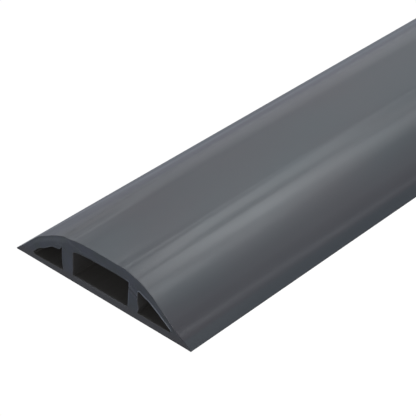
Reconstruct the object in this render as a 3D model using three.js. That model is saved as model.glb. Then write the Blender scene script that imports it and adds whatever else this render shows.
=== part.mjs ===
// Over-floor cable raceway: one length of flexible PVC extrusion, cut square at both ends.
// A low bridge with a flat base carries three channels for cords. The middle channel is nearly
// rectangular under a slightly arched roof, and the two outer ones are wedges under the sloping flanks.
// Millimetres, +Z up. X runs across the section and Y along the length. The origin is in the middle of
// the underside, which lies on the floor.

import * as THREE from "three";

// Driving dimensions

// Along the stock
const LENGTH = 1524; // five feet, a length it is sold in

// Channels and the walls around them
const MIDDLE_CHANNEL_WIDTH = 20;
const SIDE_CHANNEL_WIDTH = 11.2;
const SIDE_CHANNEL_TIP_HEIGHT = 0.95; // what is left of a side channel's height at its thin end
const WEB_THICKNESS = 3.7; // each upright wall beside the middle channel
const BASE_THICKNESS = 2;
const ROOF_THICKNESS = 3.35; // over the middle channel, and over the tall side of each side channel
const ROOF_RISE = 0.5; // how far the middle channel's roof arches up

// Outside
const HEIGHT = 14;
const CROWN_INSET = 1; // the flat top stops this far inside the middle channel's sides
const SHOULDER_SLOPE = 17.7; // degrees, the gentle fall from the flat top across each web
const SHOULDER_RUN = 3.9; // how far past the web the gentle fall goes on before the steep flank
const FOOT_RUN = 6.25; // width of the flatter foot of a flank, in from the edge
const FOOT_SLOPE = 33.5; // degrees
const TOE_WIDTH = 6.85; // solid wedge between a side channel's thin end and the edge
const TOE_HEIGHT = 0.3; // the blunt edge itself

// Roundings
const CROWN_RADIUS = 13;
const SHOULDER_RADIUS = 12;
const FOOT_RADIUS = 28;
const TOE_RADIUS = 0.12;
const CHANNEL_ROOF_RADIUS = 12; // where a side channel's roof bends down
const CHANNEL_TIP_RADIUS = 0.9;
const CHANNEL_CORNER_RADIUS = 0.5;

const CHORD_ERROR = 0.02; // how far a flat may cut inside its arc

// Places that several outlines share, on the right-hand side

const radians = THREE.MathUtils.degToRad;

const middleHalf = MIDDLE_CHANNEL_WIDTH / 2;
const webOuter = middleHalf + WEB_THICKNESS; // a web's outer face, where a side channel begins
const channelTip = webOuter + SIDE_CHANNEL_WIDTH; // a side channel's thin end
const halfWidth = channelTip + TOE_WIDTH;
const shoulderX = webOuter + SHOULDER_RUN;
const crownX = middleHalf - CROWN_INSET;

// Height of the gentle fall from the flat top, before the corners are rounded.
const shoulderHeight = (x) => HEIGHT - (x - crownX) * Math.tan(radians(SHOULDER_SLOPE));

// Rounded outlines

// A corner of an outline: its place, and the radius that rounds it.
const corner = (x, z, radius) => ({ at: new THREE.Vector2(x, z), radius });

// Points along the arc that rounds a corner. It touches the sides that come in and go out along the two
// directions, this far from the corner.
function arcPoints({ at, radius }, towards, away, reach) {
  const turn = Math.atan2(towards.cross(away), towards.dot(away)); // positive bends left
  const step = 2 * Math.acos(1 - CHORD_ERROR / Math.max(radius, CHORD_ERROR));
  const flats = Math.max(1, Math.ceil(Math.abs(turn) / step));
  const start = at.clone().addScaledVector(towards, -reach);
  const inward = new THREE.Vector2(-towards.y, towards.x).multiplyScalar(Math.sign(turn) * radius);
  const centre = start.clone().add(inward);
  return Array.from({ length: flats + 1 }, (_, i) => start.clone().rotateAround(centre, (turn * i) / flats));
}

// All the points of a closed outline. Roundings that would meet on a short side shrink until they fit.
function roundedPoints(corners) {
  const count = corners.length;
  const before = (i) => (i + count - 1) % count;
  const after = (i) => (i + 1) % count;
  const sides = corners.map(({ at }, i) => corners[after(i)].at.clone().sub(at));
  const directions = sides.map((side) => side.clone().normalize());
  const reaches = corners.map(({ radius }, i) => {
    const [towards, away] = [directions[before(i)], directions[i]];
    return radius * Math.tan(Math.abs(Math.atan2(towards.cross(away), towards.dot(away))) / 2);
  });
  const room = sides.map((side, i) => Math.min(1, side.length() / (reaches[i] + reaches[after(i)])));
  return corners.flatMap(({ at, radius }, i) => {
    const share = Math.min(room[before(i)], room[i]);
    const fitted = { at, radius: radius * share };
    return arcPoints(fitted, directions[before(i)], directions[i], reaches[i] * share);
  });
}

// Corners of the right-hand side, in order, followed by their mirror images back to the start.
function mirrored(rightCorners) {
  const leftCorners = rightCorners.map(({ at, radius }) => corner(-at.x, at.y, radius)).reverse();
  return [...rightCorners, ...leftCorners];
}

// The section

function outside() {
  const footHeight = TOE_HEIGHT + FOOT_RUN * Math.tan(radians(FOOT_SLOPE));
  return mirrored([
    corner(halfWidth, 0, TOE_RADIUS),
    corner(halfWidth, TOE_HEIGHT, TOE_RADIUS),
    corner(halfWidth - FOOT_RUN, footHeight, FOOT_RADIUS),
    corner(shoulderX, shoulderHeight(shoulderX), SHOULDER_RADIUS),
    corner(crownX, HEIGHT, CROWN_RADIUS),
  ]);
}

// The arch is one arc from wall to wall: its sides meet at twice its rise.
function middleChannel() {
  const wallTop = HEIGHT - ROOF_THICKNESS - ROOF_RISE;
  const archRadius = middleHalf / Math.sin(Math.atan2(2 * ROOF_RISE, middleHalf));
  const [floorRight, roofRight, roofLeft, floorLeft] = mirrored([
    corner(middleHalf, BASE_THICKNESS, CHANNEL_CORNER_RADIUS),
    corner(middleHalf, wallTop, CHANNEL_CORNER_RADIUS),
  ]);
  const apex = corner(0, wallTop + 2 * ROOF_RISE, archRadius);
  return [floorRight, roofRight, apex, roofLeft, floorLeft];
}

// The wedge on one side: +1 is right and -1 is left. Its roof follows the gentle fall of the outside,
// then bends down below the shoulder towards its thin end.
function sideChannel(side) {
  const roofDepth = ROOF_THICKNESS / Math.cos(radians(SHOULDER_SLOPE));
  return [
    corner(side * webOuter, BASE_THICKNESS, CHANNEL_CORNER_RADIUS),
    corner(side * channelTip, BASE_THICKNESS, CHANNEL_CORNER_RADIUS),
    corner(side * channelTip, BASE_THICKNESS + SIDE_CHANNEL_TIP_HEIGHT, CHANNEL_TIP_RADIUS),
    corner(side * shoulderX, shoulderHeight(shoulderX) - roofDepth, CHANNEL_ROOF_RADIUS),
    corner(side * webOuter, shoulderHeight(webOuter) - roofDepth, CHANNEL_CORNER_RADIUS),
  ];
}

function racewayGeometry() {
  const section = new THREE.Shape(roundedPoints(outside()));
  const channels = [middleChannel(), sideChannel(1), sideChannel(-1)];
  section.holes = channels.map((corners) => new THREE.Path(roundedPoints(corners)));
  const geometry = new THREE.ExtrudeGeometry(section, { depth: LENGTH, bevelEnabled: false });
  geometry.translate(0, 0, -LENGTH / 2);
  geometry.rotateX(Math.PI / 2); // the section stands up in XZ, and the length lies along Y
  return geometry;
}

// The model

const greyVinyl = new THREE.MeshStandardMaterial({ color: 0x4d4e52, roughness: 0.45, metalness: 0 });

const raceway = new THREE.Mesh(racewayGeometry(), greyVinyl);
raceway.name = "raceway_extrusion";

const part = new THREE.Group();
part.add(raceway);

export default part;
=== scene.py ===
"""Flexible cable raceway: a satin grey vinyl extrusion with three channels, lying on a white floor.

The frame gives the solid. This script dresses it in a finely divided mesh of the same section, with
the small irregularities that a cut length of soft vinyl has, and lights it. Sizes inside the script
are millimetres until a mesh is made; X runs across the section, Y along the length, +Z is up.
"""
import math

import bmesh
import bpy
from mathutils import Matrix, Vector, geometry, kdtree, noise


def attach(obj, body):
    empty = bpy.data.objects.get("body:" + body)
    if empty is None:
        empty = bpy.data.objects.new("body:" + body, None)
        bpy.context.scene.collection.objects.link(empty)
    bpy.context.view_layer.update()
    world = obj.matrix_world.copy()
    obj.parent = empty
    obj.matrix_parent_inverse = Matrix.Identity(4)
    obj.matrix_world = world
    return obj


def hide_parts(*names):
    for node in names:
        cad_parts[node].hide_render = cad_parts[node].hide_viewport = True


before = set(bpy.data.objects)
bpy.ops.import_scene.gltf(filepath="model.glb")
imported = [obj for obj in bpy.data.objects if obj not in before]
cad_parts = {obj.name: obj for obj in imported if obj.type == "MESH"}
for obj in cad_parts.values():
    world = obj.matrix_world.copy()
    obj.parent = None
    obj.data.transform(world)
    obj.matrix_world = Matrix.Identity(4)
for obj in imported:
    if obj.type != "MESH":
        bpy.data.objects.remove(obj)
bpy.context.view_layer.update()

MM = 0.001
SEED = 5  # without one, noise_vector takes its offsets from the clock
noise.seed_set(SEED)

# The section, as in the solid, in mm

LENGTH = 1524
HALF_WIDTH = 31.75
HEIGHT = 14
WEB_INNER = 10
WEB_OUTER = 13.7
CHANNEL_TIP = 24.9
CHANNEL_TIP_HEIGHT = 0.95
BASE = 2
ROOF_THICKNESS = 3.35
ROOF_RISE = 0.5
CROWN_X = 9
SHOULDER_X = 17.6
SHOULDER_SLOPE = math.radians(17.7)
SHOULDER_RADIUS = 12
TIP_RADIUS = 0.9

NEAR_END = -LENGTH / 2  # the end that the camera looks at


def shoulder_height(x):
    return HEIGHT - (x - CROWN_X) * math.tan(SHOULDER_SLOPE)


# Tables and curves

def straight(table, value):
    """Straight lines through (place, amount) pairs."""
    for (x0, y0), (x1, y1) in zip(table, table[1:]):
        if value <= x1:
            return y0 + (y1 - y0) * (value - x0) / (x1 - x0)
    return table[-1][1]


def interpolate(table, value):
    """A smooth curve through (place, amount) pairs."""
    if value <= table[0][0]:
        return table[0][1]
    if value >= table[-1][0]:
        return table[-1][1]
    k = next(i for i in range(1, len(table)) if value <= table[i][0])
    (x0, y0), (x1, y1) = table[k - 1], table[k]
    before, after = table[max(0, k - 2)], table[min(len(table) - 1, k + 1)]
    width = x1 - x0
    slope0 = (y1 - before[1]) / (x1 - before[0]) * width
    slope1 = (after[1] - y0) / (after[0] - x0) * width
    t = (value - x0) / width
    rise = (3 - 2 * t) * t * t
    return y0 + (y1 - y0) * rise + slope0 * t * (1 - t) ** 2 - slope1 * t * t * (1 - t)


def smooth(edge0, edge1, value):
    """Runs softly from 0 at the first edge to 1 at the second, which may be the lower one."""
    t = min(1, max(0, (value - edge0) / (edge1 - edge0)))
    return t * t * (3 - 2 * t)


# The outer outline

OUTSIDE_STEP = 0.45  # between points along the top
BASE_STEP = 1.35
TOP_STEP = 0.05  # for adding up the fall
TOE_TIP = 0.36  # height of the thin edge
TOE_UNDERCUT = 0.2  # the edge leans out this far above the floor

# How steeply the top falls at each distance from the middle, in degrees. On the right it stays
# within 0.3 mm of the solid: the fall eases off over the web, where the thick section has sunk a
# little, and again at a faint crease near the edge. On the left the shoulder is up to 0.65 mm
# fuller.
RIGHT_SLOPES = (
    (0, 0),
    (7.4, 0),
    (8, 1),
    (8.5, 4),
    (9, 9.5),
    (9.5, 14.5),
    (10, 18.5),
    (10.5, 20.2),
    (11, 19.2),
    (11.5, 16.8),
    (12, 13.6),
    (12.6, 10.6),
    (13.1, 10.4),
    (13.6, 14),
    (14.1, 18.6),
    (14.6, 22.0),
    (15.1, 24.0),
    (15.6, 25.4),
    (16.1, 27),
    (17, 29.6),
    (18, 32.1),
    (19, 35.2),
    (20, 37.1),
    (21, 38),
    (22, 39),
    (23, 40.1),
    (24, 41),
    (25, 41.2),
    (26, 40),
    (27, 37.5),
    (27.6, 34.5),
    (28.1, 28),
    (28.8, 28),
    (29.2, 33),
    (29.7, 35.5),
    (HALF_WIDTH, 35),
)
LEFT_SLOPES = (
    (0, 0),
    (7.6, 0),
    (8.4, 2),
    (9.2, 4.5),
    (10, 6.5),
    (11, 8.5),
    (12, 11),
    (13, 14),
    (14, 19),
    (15, 25.5),
    (16, 29.5),
    (17, 31.8),
    (18, 33.3),
    (19, 35.4),
    (20, 37.2),
    (21, 38.6),
    (22, 39.6),
    (23, 40.4),
    (24, 41),
    (25, 41.2),
    (26, 40),
    (27, 37.5),
    (28.2, 34.5),
    (29, 33.5),
    (HALF_WIDTH, 33.5),
)


def half_top(slopes):
    """Distance from the middle and height of the points of the top, from the middle to one edge."""
    count = round(HALF_WIDTH / TOP_STEP)
    falls = [0.0]
    for k in range(count):
        slope = straight(slopes, (k + 0.5) * TOP_STEP)
        falls.append(falls[-1] + TOP_STEP * math.tan(math.radians(slope)))
    share = (HEIGHT - TOE_TIP) / falls[-1]  # makes the top end exactly at the edge's tip
    every = round(OUTSIDE_STEP / TOP_STEP)
    chosen = sorted({*range(0, count, every), count})
    return [(k * TOP_STEP, HEIGHT - falls[k] * share) for k in chosen]


def outside():
    """Points of the outer outline: over the top from right to left, and back along the base."""
    right = [Vector((x, z)) for x, z in reversed(half_top(RIGHT_SLOPES))]
    left = [Vector((-x, z)) for x, z in half_top(LEFT_SLOPES)[1:]]
    foot = HALF_WIDTH - TOE_UNDERCUT
    spans = math.ceil(2 * foot / BASE_STEP)
    base = [Vector((-foot + 2 * foot * k / spans, 0)) for k in range(spans + 1)]
    return right + left + base


# The channels: (x, z, radius) of each corner, then points along the rounded outline

CHANNEL_STEP = 0.33
ARC_STEPS_AT_LEAST = 4
FLOOR_CORNER = 0.15  # the channels' floor corners are a little sharper than their roof ones
ROOF_CORNER = 0.4
SAME_POINT = 1e-4


def middle_corners():
    wall_top = HEIGHT - ROOF_THICKNESS - ROOF_RISE
    arch_radius = WEB_INNER / math.sin(math.atan2(2 * ROOF_RISE, WEB_INNER))
    right = [(WEB_INNER, BASE, FLOOR_CORNER), (WEB_INNER, wall_top, ROOF_CORNER)]
    left = [(-x, z, r) for x, z, r in reversed(right)]
    return right + [(0, wall_top + 2 * ROOF_RISE, arch_radius)] + left


def wedge_corners(side):
    """The outer channel on one side: 1 is right and -1 is left."""
    roof_depth = ROOF_THICKNESS / math.cos(SHOULDER_SLOPE)
    corners = [
        (WEB_OUTER, BASE, FLOOR_CORNER),
        (CHANNEL_TIP, BASE, ROOF_CORNER),
        (CHANNEL_TIP, BASE + CHANNEL_TIP_HEIGHT, TIP_RADIUS),
        (SHOULDER_X, shoulder_height(SHOULDER_X) - roof_depth, SHOULDER_RADIUS),
        (WEB_OUTER, shoulder_height(WEB_OUTER) - roof_depth, ROOF_CORNER),
    ]
    if side > 0:
        return corners
    return [(-x, z, r) for x, z, r in reversed(corners)]


def outline(corners):
    """Points of a closed outline with rounded corners, no further apart than CHANNEL_STEP."""
    spots = [Vector((x, z)) for x, z, _ in corners]
    count = len(spots)
    sides = [spots[(i + 1) % count] - spots[i] for i in range(count)]
    turns = [sides[i - 1].angle_signed(sides[i]) for i in range(count)]  # positive turns right
    reaches = [corners[i][2] * math.tan(abs(turns[i]) / 2) for i in range(count)]
    room = [min(1, sides[i].length / (reaches[i] + reaches[(i + 1) % count])) for i in range(count)]
    points = []
    for i in range(count):
        share = min(room[i - 1], room[i])
        radius, reach, turn = corners[i][2] * share, reaches[i] * share, -turns[i]
        towards, away = sides[i - 1].normalized(), sides[i].normalized()
        start = spots[i] - towards * reach
        centre = start + Vector((-towards.y, towards.x)) * radius * math.copysign(1, turn)
        steps = max(ARC_STEPS_AT_LEAST, math.ceil(abs(turn) * radius / CHANNEL_STEP))
        for k in range(steps + 1):
            points.append(centre + Matrix.Rotation(turn * k / steps, 2) @ (start - centre))
        following = spots[(i + 1) % count]
        next_share = min(room[i], room[(i + 1) % count])
        end = following - away * reaches[(i + 1) % count] * next_share
        gap = end - points[-1]
        pieces = math.ceil(gap.length / CHANNEL_STEP)
        points += [points[-1] + gap * k / pieces for k in range(1, pieces)]
    return [p for k, p in enumerate(points) if (p - points[k - 1]).length > SAME_POINT]


LOOPS = {
    "outside": outside(),
    "middle": outline(middle_corners()),
    "right": outline(wedge_corners(1)),
    "left": outline(wedge_corners(-1)),
}


def normals_into_solid(points, hole):
    """At each point, the direction in the section that leads into the material."""
    count = len(points)
    area = sum(points[i - 1].cross(points[i]) for i in range(count))
    sign = math.copysign(1, area) * (-1 if hole else 1)
    result = []
    for i in range(count):
        along = (points[(i + 1) % count] - points[i - 1]).normalized()
        result.append(Vector((-along.y, along.x)) * sign)
    return result


# Small irregularities of the real piece

WAVE_HEIGHT = 0.03
WAVE_ACROSS = 9
WAVE_ALONG = 90
WAVE_SEED = 3.1
WAVE_FROM = 2  # the waves come up to their full height over this much of the flank


def skin_relief(x, z, y):
    """How far the outside stands proud of its section, in mm: the slight waviness of soft stock."""
    wave = WAVE_HEIGHT * noise.noise(Vector((x / WAVE_ACROSS, y / WAVE_ALONG, WAVE_SEED)))
    return wave * smooth(0, WAVE_FROM, z)


# Near the visible cut the soft stock is out of shape: on the left the shoulder sinks and the flank
# bulges, and on the right the crown reaches further out. Each pair is a place in x and a rise.
END_RISE = (
    (-31.7, -0.1),
    (-30.2, 0.12),
    (-28.4, 0.45),
    (-26.7, 0.83),
    (-25.0, 0.94),
    (-24.0, 0.91),
    (-23.0, 0.71),
    (-22.0, 0.41),
    (-21.0, 0.12),
    (-19.2, -0.27),
    (-17.8, -0.5),
    (-16.4, -0.75),
    (-15.0, -0.96),
    (-13.6, -1.0),
    (-12.2, -1.01),
    (-11.0, -0.82),
    (-10.0, -0.58),
    (-9.0, -0.4),
    (-8.0, -0.29),
    (-6.5, -0.13),
    (-4.5, 0.0),
    (4.5, 0.0),
    (7.4, -0.05),
    (10.9, 0.25),
    (11.7, 0.27),
    (12.5, 0.2),
    (13.3, 0.12),
    (14.2, 0.13),
    (16.8, 0.1),
    (19.3, 0.02),
    (21.6, -0.06),
    (23.8, -0.14),
    (28.5, -0.2),
    (30.5, -0.02),
    (31.7, 0.0),
)
# The same for the channels' roofs and floors
ROOF_RISES = {
    "left": (
        (-24.9, -0.7),
        (-24.3, -0.45),
        (-23.6, -0.12),
        (-22.9, 0.05),
        (-22.2, 0.06),
        (-21.2, -0.1),
        (-20.15, -0.28),
        (-19.2, -0.31),
        (-18.3, -0.23),
        (-17.3, -0.14),
        (-16.0, -0.33),
        (-15.0, -0.5),
        (-14.4, -0.35),
        (-14.1, 0.3),
        (-13.7, 0.6),
    ),
    "middle": (
        (-10.0, -0.3),
        (-9.3, -0.28),
        (-6.9, -0.05),
        (-3.0, 0.05),
        (1.6, 0.1),
        (5.5, 0.3),
        (10.0, 0.5),
    ),
    "right": ((13.7, 0.6), (15.5, 0.45), (18.2, 0.4), (20.5, 0.35), (22.8, 0.25), (24.9, 0.1)),
}
FLOOR_RISES = {
    "left": ((-24.9, -0.3), (-13.7, 0.05)),
    "middle": ((-10, -0.2), (10, -0.05)),
    "right": ((13.7, 0.4), (24.9, 0.35)),
}
CHAMFER = 0.32  # the middle channel's floor slopes down to the cut over this length
CHAMFER_DROP = 0.3
FLOOR_REACH = 0.6  # a floor's shift fades out over this height
# How far the upright walls shift to the right at each height. The keys are a channel and the place
# of its wall.
WALL_SHIFTS = {
    ("left", -WEB_OUTER): ((2, 0.1), (5, 0.05), (7.5, 0.15), (9, 0.4)),
    ("middle", -WEB_INNER): ((2, 0.15), (6, 0.55), (9.5, 0.7)),
    ("middle", WEB_INNER): ((2, 0), (3, 0), (6, 0.3), (10, 0.7)),
    ("right", WEB_OUTER): (
        (2, -0.2),
        (2.6, -0.1),
        (3.3, 0.25),
        (4, 0.33),
        (5, 0.2),
        (6, 0.08),
        (7.5, 0.15),
        (8.8, 0.3),
    ),
}
WALL_REACH = (2, 0.2)  # a wall's shift comes up between these distances from it
# A roof's shift comes up between these heights
ROOF_FROM = {"left": (2.5, 3.6), "middle": (8.0, 9.1), "right": (2.5, 3.6)}
END_REACH = 26  # all these die out over about twice this length
SETTLED = 1e-4  # share below which they no longer count


def channel_end_shape(name, x, z, s):
    """How far a point of a channel moves right and up, s mm from the visible cut."""
    right = 0
    for (channel, wall), table in WALL_SHIFTS.items():
        if channel == name:
            right += interpolate(table, z) * smooth(*WALL_REACH, abs(x - wall))
    up = interpolate(ROOF_RISES[name], x) * smooth(*ROOF_FROM[name], z)
    floor = interpolate(FLOOR_RISES[name], x)
    if name == "middle":
        floor += CHAMFER_DROP * min(1, s / CHAMFER)
    up += floor * smooth(BASE + FLOOR_REACH, BASE, z)
    return right, up


def end_shape(name, x, z, s):
    """Where a point of the section goes, s mm from the visible cut."""
    fade = math.exp(-((s / END_REACH) ** 2))
    if fade < SETTLED:
        return x, z
    if name == "outside":
        return x, z + interpolate(END_RISE, x) * fade
    right, up = channel_end_shape(name, x, z, s)
    return x + right * fade, z + up * fade


# Stations along the length

RIM = 0.12  # radius of the worn edge round each cut
RIM_STEPS = 5
NEAR_SPACINGS = [0.2] + [0.3] * 5 + [0.6] * 5 + [1.2] * 5 + [2] * 8 + [3] * 8 + [5] * 8
FAR_SPACINGS = [0.5, 1, 2, 4, 8, 12]
LONG_SPACING = 30


def stations():
    """Distances from the visible cut at which the mesh has its rings of points, in mm."""
    rim = [RIM - RIM * math.cos(math.pi / 2 * k / RIM_STEPS) for k in range(RIM_STEPS + 1)]
    near = list(rim)
    for step in NEAR_SPACINGS:
        near.append(near[-1] + step)
    far = list(rim)
    for step in FAR_SPACINGS:
        far.append(far[-1] + step)
    far = [LENGTH - s for s in reversed(far)]
    span = far[0] - near[-1]
    count = math.ceil(span / LONG_SPACING)
    middle = [near[-1] + span * k / count for k in range(1, count)]
    return near + middle + far


def rim_inset(s):
    """How far the edge is rounded back at s mm from a cut."""
    if s >= RIM:
        return 0
    return RIM - math.sqrt(max(0, RIM * RIM - (RIM - s) ** 2))


THIN_TOE = 3  # over this width the edge gets too thin for the whole rounding
TOE_SHARE = 0.15  # of the rounding, left at the very edge
UNDERSIDE_WEAR = 2.5  # times the rounding, along the bottom edge


def rim_share(x, underside):
    """How much of the rounding a place on the section gets, as a share."""
    share = TOE_SHARE + (1 - TOE_SHARE) * smooth(0, THIN_TOE, HALF_WIDTH - abs(x))
    return share * UNDERSIDE_WEAR if underside else share


# The relief of the cut faces

BURRS = {"middle": 0.15, "right": 0.24, "left": 0.16}  # height of the lip that the cut leaves
BURR_WIDTH = 0.2
BURR_SHARE = 0.75  # it is this high on average, and wanders by the spread either way
BURR_SPREAD = 0.5
BURR_PATCH = 1.7
BURR_SEED = 8.8
FLOOR_BURR = 0.3  # share of it along the channels' floors
FLOOR_BURR_REACH = 1  # it grows to the whole height over this much of a wall
ROUGH_HEIGHT = 0.05
ROUGH_PATCH = 2.4
TEAR_HEIGHT = 0.03
TEAR_ACROSS = 0.9  # the fine tears slant down towards +X
TEAR_ALONG = 5.0
TEAR_SEED = 4
FAR_SEED = 7.7
# On the left the outer edge is rubbed back. It comes up and dies out between these places in x.
LEFT_SETBACK = 0.9
LEFT_SETBACK_WIDTH = 1.3
LEFT_SETBACK_FROM = (-9, -14)
LEFT_SETBACK_UNTIL = (-29.5, -23)
# On the right flank the outer layer is torn a little deeper, between these places.
RIGHT_STEP = 0.25
RIGHT_STEP_FROM = (15.5, 18)
RIGHT_STEP_UNTIL = (28, 25)
RIGHT_STEP_EDGES = (1.0, 0.7)  # it comes up between these distances from the outline
# Marks that the blade left: their two ends, height and width
BLADE_MARKS = (
    ((10.9, 8.75), (13.6, 7.3), -0.4, 0.24),
    ((10.8, 8.2), (13.5, 6.75), 0.25, 0.26),
    ((11.0, 9.3), (13.5, 8.0), 0.2, 0.26),
    ((11.2, 9.9), (12.1, 9.5), -0.16, 0.25),
    ((12.4, 10.3), (13.0, 9.8), -0.12, 0.2),
    ((-12.2, 12.1), (-6.4, 11.35), 0.2, 0.3),
    ((-6.4, 11.35), (9.6, 11.3), 0.12, 0.25),
    ((-15.6, 9.3), (-13.0, 9.9), 0.18, 0.25),
    ((-14.6, 10.3), (-12.4, 9.2), 0.12, 0.2),
)


def setback(x):
    """How far the rubbed outer edge lies behind the cut, in mm."""
    return LEFT_SETBACK * smooth(*LEFT_SETBACK_FROM, x) * smooth(*LEFT_SETBACK_UNTIL, x)


def right_step(x, to_edge):
    """How much deeper the torn outer layer of the right flank lies, in mm."""
    torn = smooth(*RIGHT_STEP_FROM, x) * smooth(*RIGHT_STEP_UNTIL, x)
    return RIGHT_STEP * torn * smooth(*RIGHT_STEP_EDGES, to_edge)


def distance_to_mark(x, z, start, end):
    """How far a place on the cut is from the line between a mark's ends, in mm."""
    ax, az = end[0] - start[0], end[1] - start[1]
    t = ((x - start[0]) * ax + (z - start[1]) * az) / (ax * ax + az * az)
    t = min(1, max(0, t))
    return math.hypot(x - start[0] - t * ax, z - start[1] - t * az)


def burr(name, x, z):
    """Height of the lip along a channel's edge, in mm."""
    patches = Vector((x / BURR_PATCH, z / BURR_PATCH, BURR_SEED))
    uneven = BURR_SHARE + BURR_SPREAD * noise.noise(patches)
    low = FLOOR_BURR + (1 - FLOOR_BURR) * smooth(BASE, BASE + FLOOR_BURR_REACH, z)
    return BURRS[name] * uneven * low


def cut_relief(x, z, far, to_edge, to_hole, hole):
    """How far the cut face stands out of its plane, in mm."""
    seed = FAR_SEED if far else 0
    patches = Vector((x / ROUGH_PATCH, z / ROUGH_PATCH, seed))
    slants = Vector(((x + z) / TEAR_ACROSS, (x - z) / TEAR_ALONG, seed + TEAR_SEED))
    height = ROUGH_HEIGHT * noise.noise(patches) + TEAR_HEIGHT * noise.noise(slants)
    if to_hole < BURR_WIDTH:
        height += burr(hole, x, z) * smooth(BURR_WIDTH, BURR_WIDTH / 4, to_hole)
    if far:
        return height
    height -= setback(x) * (1 - smooth(0, LEFT_SETBACK_WIDTH, to_edge))
    height -= right_step(x, to_edge)
    for start, end, rise, width in BLADE_MARKS:
        height += rise * math.exp(-((distance_to_mark(x, z, start, end) / width) ** 2))
    return height


# The triangles of the cut faces

def inside(point, polygon):
    """Whether a point of the section lies within a closed outline."""
    hit = False
    x, z = point
    for (x0, z0), (x1, z1) in zip(polygon, polygon[1:] + polygon[:1]):
        if (z0 > z) != (z1 > z) and x < x0 + (z - z0) / (z1 - z0) * (x1 - x0):
            hit = not hit
    return hit


def tree_of(points):
    """For finding the nearest of some points of the section."""
    tree = kdtree.KDTree(len(points))
    for k, point in enumerate(points):
        tree.insert((point[0], point[1], 0), k)
    tree.balance()
    return tree


CAP_SPACING = 0.36
ROW_SHARE = 0.87  # of the spacing, from one row of the triangular grid to the next
JITTER = 0.08
JITTER_PER_MM = 3.3
JITTER_SEED = 0.5
GRID_CLEAR = 0.6  # of the spacing, free round each point of the grid
RING_CLEAR = 0.9  # of a ring's depth, free round each of its points
MARK_CLEAR = 0.1
# Extra rows of points beside each outline, in mm from it
CHANNEL_RINGS = (0.07, 0.14, 0.21, 0.28, 0.42)
OUTSIDE_RINGS = (0.15, 0.35, 0.6, 0.85, 1.1)
APART = 0.1  # least distance between the points of different kinds
JOIN_WITHIN = 1e-5
MARK_STEP = 0.2
MARK_ROWS = (-1.3, -0.55, 0, 0.55, 1.3)  # in widths of the mark


def ring_points(loops):
    """Rows of points close to the outlines, where the relief is fine."""
    found = []
    for k, loop in enumerate(loops):
        points = [Vector(p) for p in loop]
        inward = normals_into_solid(points, k > 0)
        for depth in CHANNEL_RINGS if k else OUTSIDE_RINGS:
            clear = RING_CLEAR * depth
            found += [(tuple(p + into * depth), clear) for p, into in zip(points, inward)]
    return found


def mark_points():
    """Rows of points along the blade's marks."""
    found = []
    for start, end, _, width in BLADE_MARKS:
        start, end = Vector(start), Vector(end)
        along = end - start
        across = Vector((-along.y, along.x)).normalized() * width
        count = math.ceil(along.length / MARK_STEP)
        for k in range(count + 1):
            middle = start + along * k / count
            found += [(tuple(middle + across * row), MARK_CLEAR) for row in MARK_ROWS]
    return found


def grid_points():
    """A jittered triangular grid over the whole section."""
    step = CAP_SPACING
    found = []
    for row in range(math.ceil(HEIGHT / (step * ROW_SHARE))):
        for column in range(math.ceil(2 * HALF_WIDTH / step)):
            x = -HALF_WIDTH + step * (column + 0.5 * (row % 2))
            z = step * ROW_SHARE * row
            place = Vector((x * JITTER_PER_MM, z * JITTER_PER_MM, JITTER_SEED))
            shift = noise.noise_vector(place) * JITTER
            found.append(((x + shift.x, z + shift.y), GRID_CLEAR * step))
    return found


def in_solid(spot, loops):
    return inside(spot, loops[0]) and not any(inside(spot, hole) for hole in loops[1:])


def cap_points(loops, border):
    """Points inside the cut face, clear of the outlines and of each other's rows."""
    found = []
    for candidates in (ring_points(loops), mark_points(), grid_points()):
        taken = tree_of(found) if found else None
        for spot, clear in candidates:
            if border.find((*spot, 0))[2] < clear:
                continue
            if taken and taken.find((*spot, 0))[2] < APART:
                continue
            if in_solid(spot, loops):
                found.append(spot)
    return found


def cap_triangles(loops, extra):
    """Triangles of the cut face, as indices into the loops' points followed by the extra ones."""
    points = [Vector(p) for loop in loops for p in loop] + [Vector(p) for p in extra]
    edges = []
    first = 0
    for loop in loops:
        count = len(loop)
        edges += [(first + k, first + (k + 1) % count) for k in range(count)]
        first += count
    made = geometry.delaunay_2d_cdt(points, edges, [], 0, JOIN_WITHIN)
    verts, faces, origin = made[0], made[2], made[3]
    index = [ids[0] if ids else None for ids in origin]
    result = []
    for face in faces:
        middle = sum((verts[v] for v in face), Vector((0, 0))) / len(face)
        spot = tuple(middle)
        if in_solid(spot, loops):
            result.append([index[v] for v in face])
    return result


# The mesh

SKIN, CUT, CHANNEL, UNDERSIDE, LIP = range(5)  # in the order of the object's materials
EDGE_ABOVE = 0.4  # the outer edge begins this far above the floor
HAIR = 0.01  # allowed when places are compared
SETTLED_FROM_CUT = 2  # past this distance the cut moves nothing along Y
SETBACK_ABOVE = 0.5
# Beside each channel the lip gets a painted highlight, paler than the cut: how far from it, and
# where that begins in x
LIP_HIGHLIGHTS = {"left": (0.14, -14.6), "middle": (0.17, 9.0), "right": (0.28, 13.0)}
LIP_HIGHLIGHT_LOWEST = 2.9


def kinds_of_sides(name, points):
    """Which material the faces between neighbouring points of an outline get."""
    if name != "outside":
        return [CHANNEL] * len(points)
    pairs = zip(points, points[1:] + points[:1])
    # Faces lower than the edge's tip get the underside's painted shade.
    return [UNDERSIDE if max(p.y, q.y) < TOE_TIP + HAIR else SKIN for p, q in pairs]


def chamfer_kind(name, kind, point, s):
    """The chamfer of the middle channel's floor belongs to the cut."""
    on_floor = name == "middle" and point.y < BASE + HAIR
    return CUT if on_floor and s < CHAMFER + HAIR else kind


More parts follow.
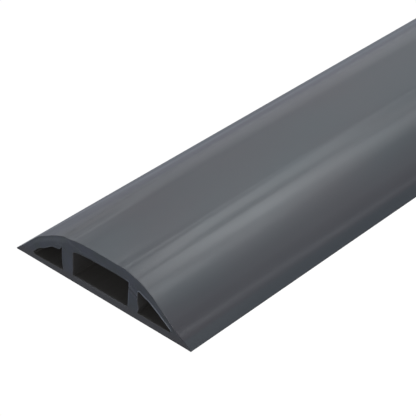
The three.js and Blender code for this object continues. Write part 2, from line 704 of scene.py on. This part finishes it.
def ring_positions(name, points, inward, s):
    """The outline's points at s mm from the visible cut, in mm."""
    y = NEAR_END + s
    from_cut = min(s, LENGTH - s)
    inset = rim_inset(from_cut)
    result = []
    for point, into in zip(points, inward):
        proud = skin_relief(point.x, point.y, y) if name == "outside" else 0
        underside = name == "outside" and point.y == 0
        moved = point + into * (inset * rim_share(point.x, underside) - proud)
        x, z = (moved.x, moved.y) if underside else end_shape(name, moved.x, moved.y, s)
        result.append((x, y + edge_shift(name, x, z, s), max(z, 0)))
    return result


def edge_shift(name, x, z, s):
    """How far along Y the burrs and the rubbed edge move a point near a cut, in mm."""
    from_cut = min(s, LENGTH - s)
    if from_cut > SETTLED_FROM_CUT:
        return 0
    near = s < SETTLED_FROM_CUT
    if name != "outside":
        return (-1 if near else 1) * burr(name, x, z) * smooth(RIM, 0, from_cut)
    return setback(x) * (1 - from_cut / SETTLED_FROM_CUT) if near and z > SETBACK_ABOVE else 0


def quads(first, rows, count):
    """Faces between the rings of one outline."""
    result = []
    for row in range(rows - 1):
        for k in range(count):
            a = first + row * count + k
            b = first + row * count + (k + 1) % count
            result.append((a, b, b + count, a + count))
    return result


def cap(rings, verts, y, far):
    """Adds a cut face's points to verts. Returns its faces and their materials.

    Rings holds the ids of the points of each outline.
    """
    loops = {name: [(verts[v][0], verts[v][2]) for v in ring] for name, ring in rings.items()}
    edge = tree_of([spot for spot in loops["outside"] if spot[1] > EDGE_ABOVE])
    holes = [(name, spot) for name, loop in loops.items() if name != "outside" for spot in loop]
    hole_tree = tree_of([spot for _, spot in holes])
    border = tree_of([spot for loop in loops.values() for spot in loop])
    extra = cap_points(list(loops.values()), border)
    ids = [v for ring in rings.values() for v in ring]
    ids += range(len(verts), len(verts) + len(extra))
    out = 1 if far else -1
    for x, z in extra:
        to_edge = edge.find((x, z, 0))[2]
        _, nearest, to_hole = hole_tree.find((x, z, 0))
        height = cut_relief(x, z, far, to_edge, to_hole, holes[nearest][0])
        verts.append((x, y + out * height, z))
    faces = [[ids[v] for v in face] for face in cap_triangles(list(loops.values()), extra)]
    return faces, [kind_on_cut([verts[v] for v in face], hole_tree, holes) for face in faces]


def kind_on_cut(corners, hole_tree, holes):
    """Which material a face of the cut gets."""
    x = sum(corner[0] for corner in corners) / len(corners)
    z = sum(corner[2] for corner in corners) / len(corners)
    spot, nearest, distance = hole_tree.find((x, z, 0))
    width, begins = LIP_HIGHLIGHTS[holes[nearest][0]]
    # Faces close to a channel's upper edge get the lip's painted highlight.
    return LIP if spot[0] > begins and z > LIP_HIGHLIGHT_LOWEST and distance < width else CUT


def raceway_mesh():
    """The walls along the length, one outline after another, and then the two cut faces."""
    rows = stations()
    verts, faces, kinds = [], [], []
    ends = {0: {}, len(rows) - 1: {}}
    for name, points in LOOPS.items():
        hole = name != "outside"
        inward = normals_into_solid(points, hole)
        first, count = len(verts), len(points)
        for s in rows:
            verts += ring_positions(name, points, inward, s)
        faces += quads(first, len(rows), count)
        sides = kinds_of_sides(name, points)
        for s in rows[1:]:
            kinds += [chamfer_kind(name, kind, point, s) for kind, point in zip(sides, points)]
        for row in ends:
            ends[row][name] = [first + row * count + k for k in range(count)]
    for row, rings in ends.items():
        made, made_kinds = cap(rings, verts, NEAR_END + rows[row], row != 0)
        faces += made
        kinds += made_kinds
    mesh = bpy.data.meshes.new("raceway_vinyl")
    mesh.from_pydata([(x * MM, y * MM, z * MM) for x, y, z in verts], [], faces)
    for polygon, kind in zip(mesh.polygons, kinds):
        polygon.material_index = kind
        polygon.use_smooth = True
    mesh.validate()
    return mesh


def turn_faces_out(mesh):
    work = bmesh.new()
    work.from_mesh(mesh)
    bmesh.ops.recalc_face_normals(work, faces=work.faces)
    work.to_mesh(mesh)
    work.free()


# Parts of materials

NOISE_LOW, NOISE_HIGH = 0.3, 0.7  # nearly all of a noise texture's values lie between these


def add(tree, kind, **values):
    """A new node. A value whose name is a socket's goes there, and any other is a setting."""
    made = tree.nodes.new(kind)
    for name, value in values.items():
        if name in made.inputs:
            made.inputs[name].default_value = value
        else:
            setattr(made, name, value)
    return made


def new_material(name):
    material = bpy.data.materials.new(name)
    material.use_nodes = True
    tree = material.node_tree
    tree.nodes.clear()
    shader = add(tree, "ShaderNodeBsdfPrincipled")
    output = add(tree, "ShaderNodeOutputMaterial")
    tree.links.new(shader.outputs["BSDF"], output.inputs["Surface"])
    return material, tree, shader


def pattern(tree, scale, stretch, detail=2.0):
    """Noise over the object's own coordinates. Stretch is the scale of X, Y and Z."""
    place = add(tree, "ShaderNodeTexCoord")
    mapping = add(tree, "ShaderNodeMapping")
    mapping.inputs["Scale"].default_value = stretch
    texture = add(tree, "ShaderNodeTexNoise", Scale=scale, Detail=detail)
    tree.links.new(place.outputs["Object"], mapping.inputs["Vector"])
    tree.links.new(mapping.outputs["Vector"], texture.inputs["Vector"])
    return texture.outputs["Fac"]


def remap(tree, source, low, high, start=NOISE_LOW, stop=NOISE_HIGH):
    """Runs from low to high as the source runs from start to stop, and no further."""
    made = add(tree, "ShaderNodeMapRange")
    made.inputs["From Min"].default_value = start
    made.inputs["From Max"].default_value = stop
    made.inputs["To Min"].default_value = low
    made.inputs["To Max"].default_value = high
    tree.links.new(source, made.inputs["Value"])
    return made.outputs["Result"]


def between(tree, source, first, second):
    """A colour that runs from the first to the second over the usual range of noise."""
    ramp = add(tree, "ShaderNodeValToRGB")
    ramp.color_ramp.elements[0].position = NOISE_LOW
    ramp.color_ramp.elements[0].color = (*first, 1)
    ramp.color_ramp.elements[1].position = NOISE_HIGH
    ramp.color_ramp.elements[1].color = (*second, 1)
    tree.links.new(source, ramp.inputs["Fac"])
    return ramp.outputs["Color"]


def add_bump(tree, shader, sources):
    """Chains bumps: (source, distance in metres, strength)."""
    normal = None
    for source, distance, strength in sources:
        bump = add(tree, "ShaderNodeBump")
        bump.inputs["Distance"].default_value = distance
        bump.inputs["Strength"].default_value = strength
        tree.links.new(source, bump.inputs["Height"])
        if normal:
            tree.links.new(normal, bump.inputs["Normal"])
        normal = bump.outputs["Normal"]
    tree.links.new(normal, shader.inputs["Normal"])


def object_place(tree, axis):
    """A point's place along one axis, in metres."""
    place = add(tree, "ShaderNodeTexCoord")
    split = add(tree, "ShaderNodeSeparateXYZ")
    tree.links.new(place.outputs["Object"], split.inputs["Vector"])
    return split.outputs[axis]


def along(tree, axis, first, second, low=0, high=1):
    """Runs from low to high between two places on an axis, in metres."""
    return remap(tree, object_place(tree, axis), low, high, first, second)


def stripe(tree, middle, reach):
    """1 at a place in X, falling to 0 at the reach on either side."""
    offset = add(tree, "ShaderNodeMath", operation="SUBTRACT")
    offset.inputs[1].default_value = middle
    tree.links.new(object_place(tree, "X"), offset.inputs[0])
    distance = add(tree, "ShaderNodeMath", operation="ABSOLUTE")
    tree.links.new(offset.outputs["Value"], distance.inputs[0])
    return remap(tree, distance.outputs["Value"], 1, 0, 0, reach)


def product(tree, first, second):
    made = add(tree, "ShaderNodeMath", operation="MULTIPLY")
    tree.links.new(first, made.inputs[0])
    tree.links.new(second, made.inputs[1])
    return made.outputs["Value"]


def mixed(tree, share, first, second):
    """A colour that runs from the first to the second as the share runs from 0 to 1."""
    made = add(tree, "ShaderNodeMix", data_type="RGBA")
    tree.links.new(share, made.inputs["Factor"])
    tree.links.new(first, made.inputs["A"])
    tree.links.new(second, made.inputs["B"])
    return made.outputs["Result"]


def finish(tree, shader, colour, roughness, bumps):
    """Joins a colour, a roughness and bumps to the shader."""
    tree.links.new(colour, shader.inputs["Base Color"])
    tree.links.new(roughness, shader.inputs["Roughness"])
    add_bump(tree, shader, bumps)


# The vinyl's materials. Each pair of colours is the two ends that a noise runs between.

CROWN_TONES = ((0.0500, 0.0474, 0.0540), (0.0430, 0.0512, 0.0582))
# The next two are painted shade, for the lower right flank and, bluish, outside the crease.
FLANK_SHADE_TONES = ((0.0435, 0.0405, 0.0465), (0.0405, 0.0420, 0.0490))
EDGE_SHADE_TONES = ((0.0405, 0.0440, 0.0500), (0.0385, 0.0430, 0.0500))
# The next two are a painted highlight line and painted shade, for the left shoulder.
SHOULDER_HIGHLIGHT_TONES = ((0.0680, 0.0645, 0.0735), (0.0585, 0.0697, 0.0790))
SHOULDER_SHADE_TONES = ((0.0290, 0.0275, 0.0313), (0.0250, 0.0297, 0.0338))
HIGH_CUT_TONES = ((0.0395, 0.0450, 0.0475), (0.0505, 0.0540, 0.0670))
LOW_CUT_TONES = ((0.046, 0.045, 0.048), (0.054, 0.053, 0.056))
# Painted highlight for the lips beside the channels.
LIP_HIGHLIGHT_TONES = ((0.058, 0.064, 0.076), (0.088, 0.100, 0.124))
CHANNEL_TONES = ((0.038, 0.036, 0.034), (0.045, 0.043, 0.041))
# Painted shade for the base and the bottom edges.
UNDERSIDE_SHADE_TONES = ((0.012, 0.012, 0.014), (0.020, 0.020, 0.022))

# Places in X, in metres, between which the right flank changes
# The darker, warmer flank is painted shade, and it stays dark and turns bluish outside the crease.
SHADED_FLANK = (0.0205, 0.0252)  # a little darker and warmer
BLUE_EDGE = (0.0288, 0.0296)  # bluish again, outside the crease
DULL_EDGE = (0.0245, 0.0288)  # the gloss fades
SPECULAR = 0.5
DULL_EDGE_SPECULAR = 0.1

# Along the left shoulder runs a painted highlight, a paler line: its middle and reach in X. It
# comes up between two places in Y, and before them the shoulder gets painted shade, a little
# darker.
SHOULDER_HIGHLIGHT = (-0.0138, 0.0022)
SHOULDER_HIGHLIGHT_FROM = (-0.738, -0.690)
SHADED_SHOULDER = (-0.0125, 0.0055)
SHADED_SHOULDER_UNTIL = (-0.757, -0.715)


def with_shoulder(tree, hue, crown):
    """The crown's colour, with a painted highlight line along the left shoulder and painted shade
    at the shoulder's start near the cut.
    """
    # Painted highlight: a paler line along the left shoulder.
    begun = along(tree, "Y", *SHOULDER_HIGHLIGHT_FROM)
    on_highlight = product(tree, stripe(tree, *SHOULDER_HIGHLIGHT), begun)
    highlighted = mixed(tree, on_highlight, crown, between(tree, hue, *SHOULDER_HIGHLIGHT_TONES))
    # Painted shade: the left shoulder darker near the cut.
    near = along(tree, "Y", *SHADED_SHOULDER_UNTIL, low=1, high=0)
    on_shade = product(tree, stripe(tree, *SHADED_SHOULDER), near)
    return mixed(tree, on_shade, highlighted, between(tree, hue, *SHOULDER_SHADE_TONES))


def skin_material():
    """Satin, and duller towards the right edge, with painted shade on the lower right flank and its
    edge.
    """
    material, tree, shader = new_material("satin_grey_vinyl")
    streaks = pattern(tree, 1, (700, 1.5, 700), 3)
    mottle = pattern(tree, 1, (90, 22, 90), 3)
    grain = pattern(tree, 3500, (1, 0.4, 1), 2)
    hue = pattern(tree, 1, (48, 17, 48), 2)
    crown = with_shoulder(tree, hue, between(tree, hue, *CROWN_TONES))
    # Painted shade: the right flank darkens towards its edge.
    flank = mixed(tree, along(tree, "X", *SHADED_FLANK), crown, between(tree, hue, *FLANK_SHADE_TONES))
    colour = mixed(tree, along(tree, "X", *BLUE_EDGE), flank, between(tree, hue, *EDGE_SHADE_TONES))
    gloss = along(tree, "X", *DULL_EDGE, low=SPECULAR, high=DULL_EDGE_SPECULAR)
    tree.links.new(gloss, shader.inputs["Specular IOR Level"])
    bumps = [(streaks, 0.00001, 0.2), (grain, 0.00001, 0.3)]
    finish(tree, shader, colour, remap(tree, mottle, 0.28, 0.33), bumps)
    return material


WARM_BASE = (0.0015, 0.004)  # the cut's grey turns from warm to bluish between these heights
CUT_SPECULAR = 0.35


def cut_material():
    """Matt, with fine saw lines, and warmer along the base."""
    material, tree, shader = new_material("cut_grey_vinyl")
    clouds = pattern(tree, 300, (1, 1, 1), 3)
    lines = pattern(tree, 1, (1400, 300, 260), 3)
    high = between(tree, clouds, *HIGH_CUT_TONES)
    low = between(tree, clouds, *LOW_CUT_TONES)
    colour = mixed(tree, along(tree, "Z", *WARM_BASE), low, high)
    shader.inputs["Specular IOR Level"].default_value = CUT_SPECULAR
    bumps = [(lines, 0.00003, 0.5), (clouds, 0.00003, 0.4)]
    finish(tree, shader, colour, remap(tree, clouds, 0.55, 0.7), bumps)
    return material


def lip_highlight_material():
    """Painted highlight on the lip that the blade left round the channels."""
    material, tree, shader = new_material("lip_highlight_grey_vinyl")
    clouds = pattern(tree, 260, (1, 1, 1), 2)
    grain = pattern(tree, 2600, (1, 1, 1), 2)
    colour = between(tree, clouds, *LIP_HIGHLIGHT_TONES)
    finish(tree, shader, colour, remap(tree, grain, 0.4, 0.5), [(grain, 0.00001, 0.4)])
    return material


def channel_material():
    """The channels' walls, with fine lines along the length."""
    material, tree, shader = new_material("channel_grey_vinyl")
    streaks = pattern(tree, 1, (900, 2, 900), 3)
    grain = pattern(tree, 2600, (1, 0.5, 1), 2)
    bumps = [(streaks, 0.00003, 0.4), (grain, 0.00001, 0.4)]
    colour = between(tree, streaks, *CHANNEL_TONES)
    finish(tree, shader, colour, remap(tree, grain, 0.5, 0.6), bumps)
    return material


UNDERSIDE_SPECULAR = 0.2


def shaded_underside_material():
    """The flat base and the bottom edges, matt, and dark with painted shade where they lie on the
    floor.
    """
    material, tree, shader = new_material("shaded_underside_grey_vinyl")
    clouds = pattern(tree, 160, (1, 0.3, 1), 3)
    grain = pattern(tree, 2600, (1, 0.5, 1), 2)
    shader.inputs["Specular IOR Level"].default_value = UNDERSIDE_SPECULAR
    bumps = [(clouds, 0.00002, 0.4), (grain, 0.00001, 0.4)]
    colour = between(tree, clouds, *UNDERSIDE_SHADE_TONES)
    finish(tree, shader, colour, remap(tree, grain, 0.6, 0.75), bumps)
    return material


# In the order of the kinds of faces
MATERIALS = (skin_material, cut_material, channel_material, shaded_underside_material, lip_highlight_material)
SHARP_ANGLE = math.radians(40)


def add_object(name, data):
    """A new object in the scene."""
    made = bpy.data.objects.new(name, data)
    bpy.context.scene.collection.objects.link(made)
    return made


def build_raceway():
    mesh = raceway_mesh()
    turn_faces_out(mesh)
    mesh.set_sharp_from_angle(angle=SHARP_ANGLE)
    raceway = add_object("raceway_vinyl", mesh)
    for make in MATERIALS:
        mesh.materials.append(make())
    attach(raceway, "root")
    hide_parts("raceway_extrusion")


# Studio

WHITE = 1.02  # what the camera sees of the floor and the surroundings


def split_by_ray(tree, kind, dim, output):
    """The camera sees plain white, and every other ray sees the dim node. Both are of one kind."""
    seen = add(tree, "ShaderNodeLightPath")
    white = add(tree, kind, Strength=WHITE)
    white.inputs["Color"].default_value = (1, 1, 1, 1)
    mix = add(tree, "ShaderNodeMixShader")
    tree.links.new(seen.outputs["Is Camera Ray"], mix.inputs["Fac"])
    tree.links.new(dim.outputs[0], mix.inputs[1])
    tree.links.new(white.outputs[0], mix.inputs[2])
    tree.links.new(mix.outputs["Shader"], output.inputs["Surface"])


FLOOR_SIZE = 60
FLOOR_GAP = 0.0002  # keeps the floor and the underside from sharing a plane
FLOOR_GLOW = 0.37  # what the vinyl sees of the floor
FLOOR_TINT = (0.94, 1.0, 1.16)


def floor_material():
    material = bpy.data.materials.new("white_floor")
    material.use_nodes = True
    tree = material.node_tree
    tree.nodes.clear()
    dim = add(tree, "ShaderNodeEmission", Strength=FLOOR_GLOW)
    dim.inputs["Color"].default_value = (*FLOOR_TINT, 1)
    split_by_ray(tree, "ShaderNodeEmission", dim, add(tree, "ShaderNodeOutputMaterial"))
    return material


def build_floor():
    mesh = bpy.data.meshes.new("floor")
    half = FLOOR_SIZE / 2
    corners = [(-half, -half), (half, -half), (half, half), (-half, half)]
    mesh.from_pydata([(x, y, -FLOOR_GAP) for x, y in corners], [], [(0, 1, 2, 3)])
    mesh.materials.append(floor_material())
    add_object("floor", mesh)


# What the vinyl sees round the studio: sine of the height above the horizon, and how bright it is
SKY_BANDS = (
    (-0.02, 0),
    (0, 1.65),
    (0.05, 1.55),
    (0.1, 0),
    (0.16, 0),
    (0.24, 1.8),
    (0.34, 1.3),
    (0.5, 0.7),
    (0.7, 0.15),
    (1, 0.15),
)
SKY_SCALE = 2  # keeps the ramp's colours below 1
SKY_TINT = (0.95, 1.0, 1.05)


def sky_colour(tree):
    """The bands of light, by the height that a ray looks up to."""
    towards = add(tree, "ShaderNodeTexCoord")
    split = add(tree, "ShaderNodeSeparateXYZ")
    tree.links.new(towards.outputs["Generated"], split.inputs["Vector"])
    ramp = add(tree, "ShaderNodeValToRGB")
    elements = ramp.color_ramp.elements
    while len(elements) < len(SKY_BANDS):
        elements.new(0.5)
    for element, (rise, light) in zip(elements, SKY_BANDS):
        element.position = 0.5 + rise / 2
        element.color = (*(light / SKY_SCALE * part for part in SKY_TINT), 1)
    tree.links.new(remap(tree, split.outputs["Z"], 0, 1, -1, 1), ramp.inputs["Fac"])
    return ramp.outputs["Color"]


def build_sky():
    world = bpy.data.worlds.new("studio")
    bpy.context.scene.world = world
    world.use_nodes = True
    tree = world.node_tree
    tree.nodes.clear()
    dim = add(tree, "ShaderNodeBackground", Strength=SKY_SCALE)
    tree.links.new(sky_colour(tree), dim.inputs["Color"])
    split_by_ray(tree, "ShaderNodeBackground", dim, add(tree, "ShaderNodeOutputWorld"))


LIGHT_TINT = (0.95, 1.0, 1.03)
# Softboxes that face straight down: name, middle, width and depth, radiance
LIGHTS = (
    ("key_softbox", (0.0, -0.075, 0.850), (0.45, 0.26), 5.9),
    ("right_softbox", (0.45, -0.14, 0.855), (0.15, 0.39), 6.9),
    ("rear_softbox", (0.225, 0.12, 0.860), (0.30, 0.39), 2.5),
    ("rear_left_softbox", (-0.30, 0.25, 0.865), (0.15, 0.39), 2.0),
    ("left_softbox", (-0.525, 0.055, 0.870), (0.30, 0.26), 4.1),
    ("left_strip", (-0.60, -0.27, 0.875), (0.15, 0.13), 16.9),
    ("top_softbox", (-0.05, -0.80, 0.880), (0.5, 0.18), 8.0),
)


def softbox(name, location, width, depth, radiance, tint):
    """A glowing rectangle, facing down."""
    light = bpy.data.lights.new(name, "AREA")
    light.shape = "RECTANGLE"
    light.size = width
    light.size_y = depth
    light.energy = radiance * math.pi * width * depth  # watts of a box that glows evenly
    light.color = tint
    lamp = add_object(name, light)
    lamp.location = location
    lamp.visible_camera = False
    return lamp


def build_lights():
    for name, location, (width, depth), radiance in LIGHTS:
        softbox(name, location, width, depth, radiance, LIGHT_TINT)


FILL_DISTANCE = 2.0  # the fill stands behind the camera, this far from the cut
FILL_SIZE = 0.4
FILL_RADIANCE = 20.0
FILL_TINT = (1.03, 1.0, 0.97)


def build_fill():
    """A soft fill from the viewing direction, which reaches into the channels."""
    towards = view_direction()
    location = Vector((0, NEAR_END * MM, 0)) + towards * FILL_DISTANCE
    lamp = softbox("front_softbox", location, FILL_SIZE, FILL_SIZE, FILL_RADIANCE, FILL_TINT)
    lamp.rotation_euler = towards.to_track_quat("Z", "Y").to_euler()


CAMERA_AT = (0.2348, -0.9760, 0.2452)
CAMERA_AZIMUTH = 42.71  # degrees round from -Y towards +X
CAMERA_ELEVATION = 34.49
FOCAL_PIXELS = 1575  # focal length, in pixels of a picture of this width
PICTURE_PIXELS = 416
SENSOR = 36
CLIP = (0.01, 100)


def view_direction():
    """From the raceway to the camera."""
    a, e = math.radians(CAMERA_AZIMUTH), math.radians(CAMERA_ELEVATION)
    return Vector((math.sin(a) * math.cos(e), -math.cos(a) * math.cos(e), math.sin(e)))


def build_camera():
    data = bpy.data.cameras.new("camera")
    data.sensor_width = SENSOR
    data.lens = SENSOR * FOCAL_PIXELS / PICTURE_PIXELS
    data.clip_start, data.clip_end = CLIP
    camera = add_object("camera", data)
    camera.location = CAMERA_AT
    camera.rotation_euler = (-view_direction()).to_track_quat("-Z", "Y").to_euler()
    bpy.context.scene.camera = camera


build_camera()
build_floor()
build_sky()
build_lights()
build_fill()
build_raceway()
bpy.context.scene.view_settings.view_transform = "Standard"
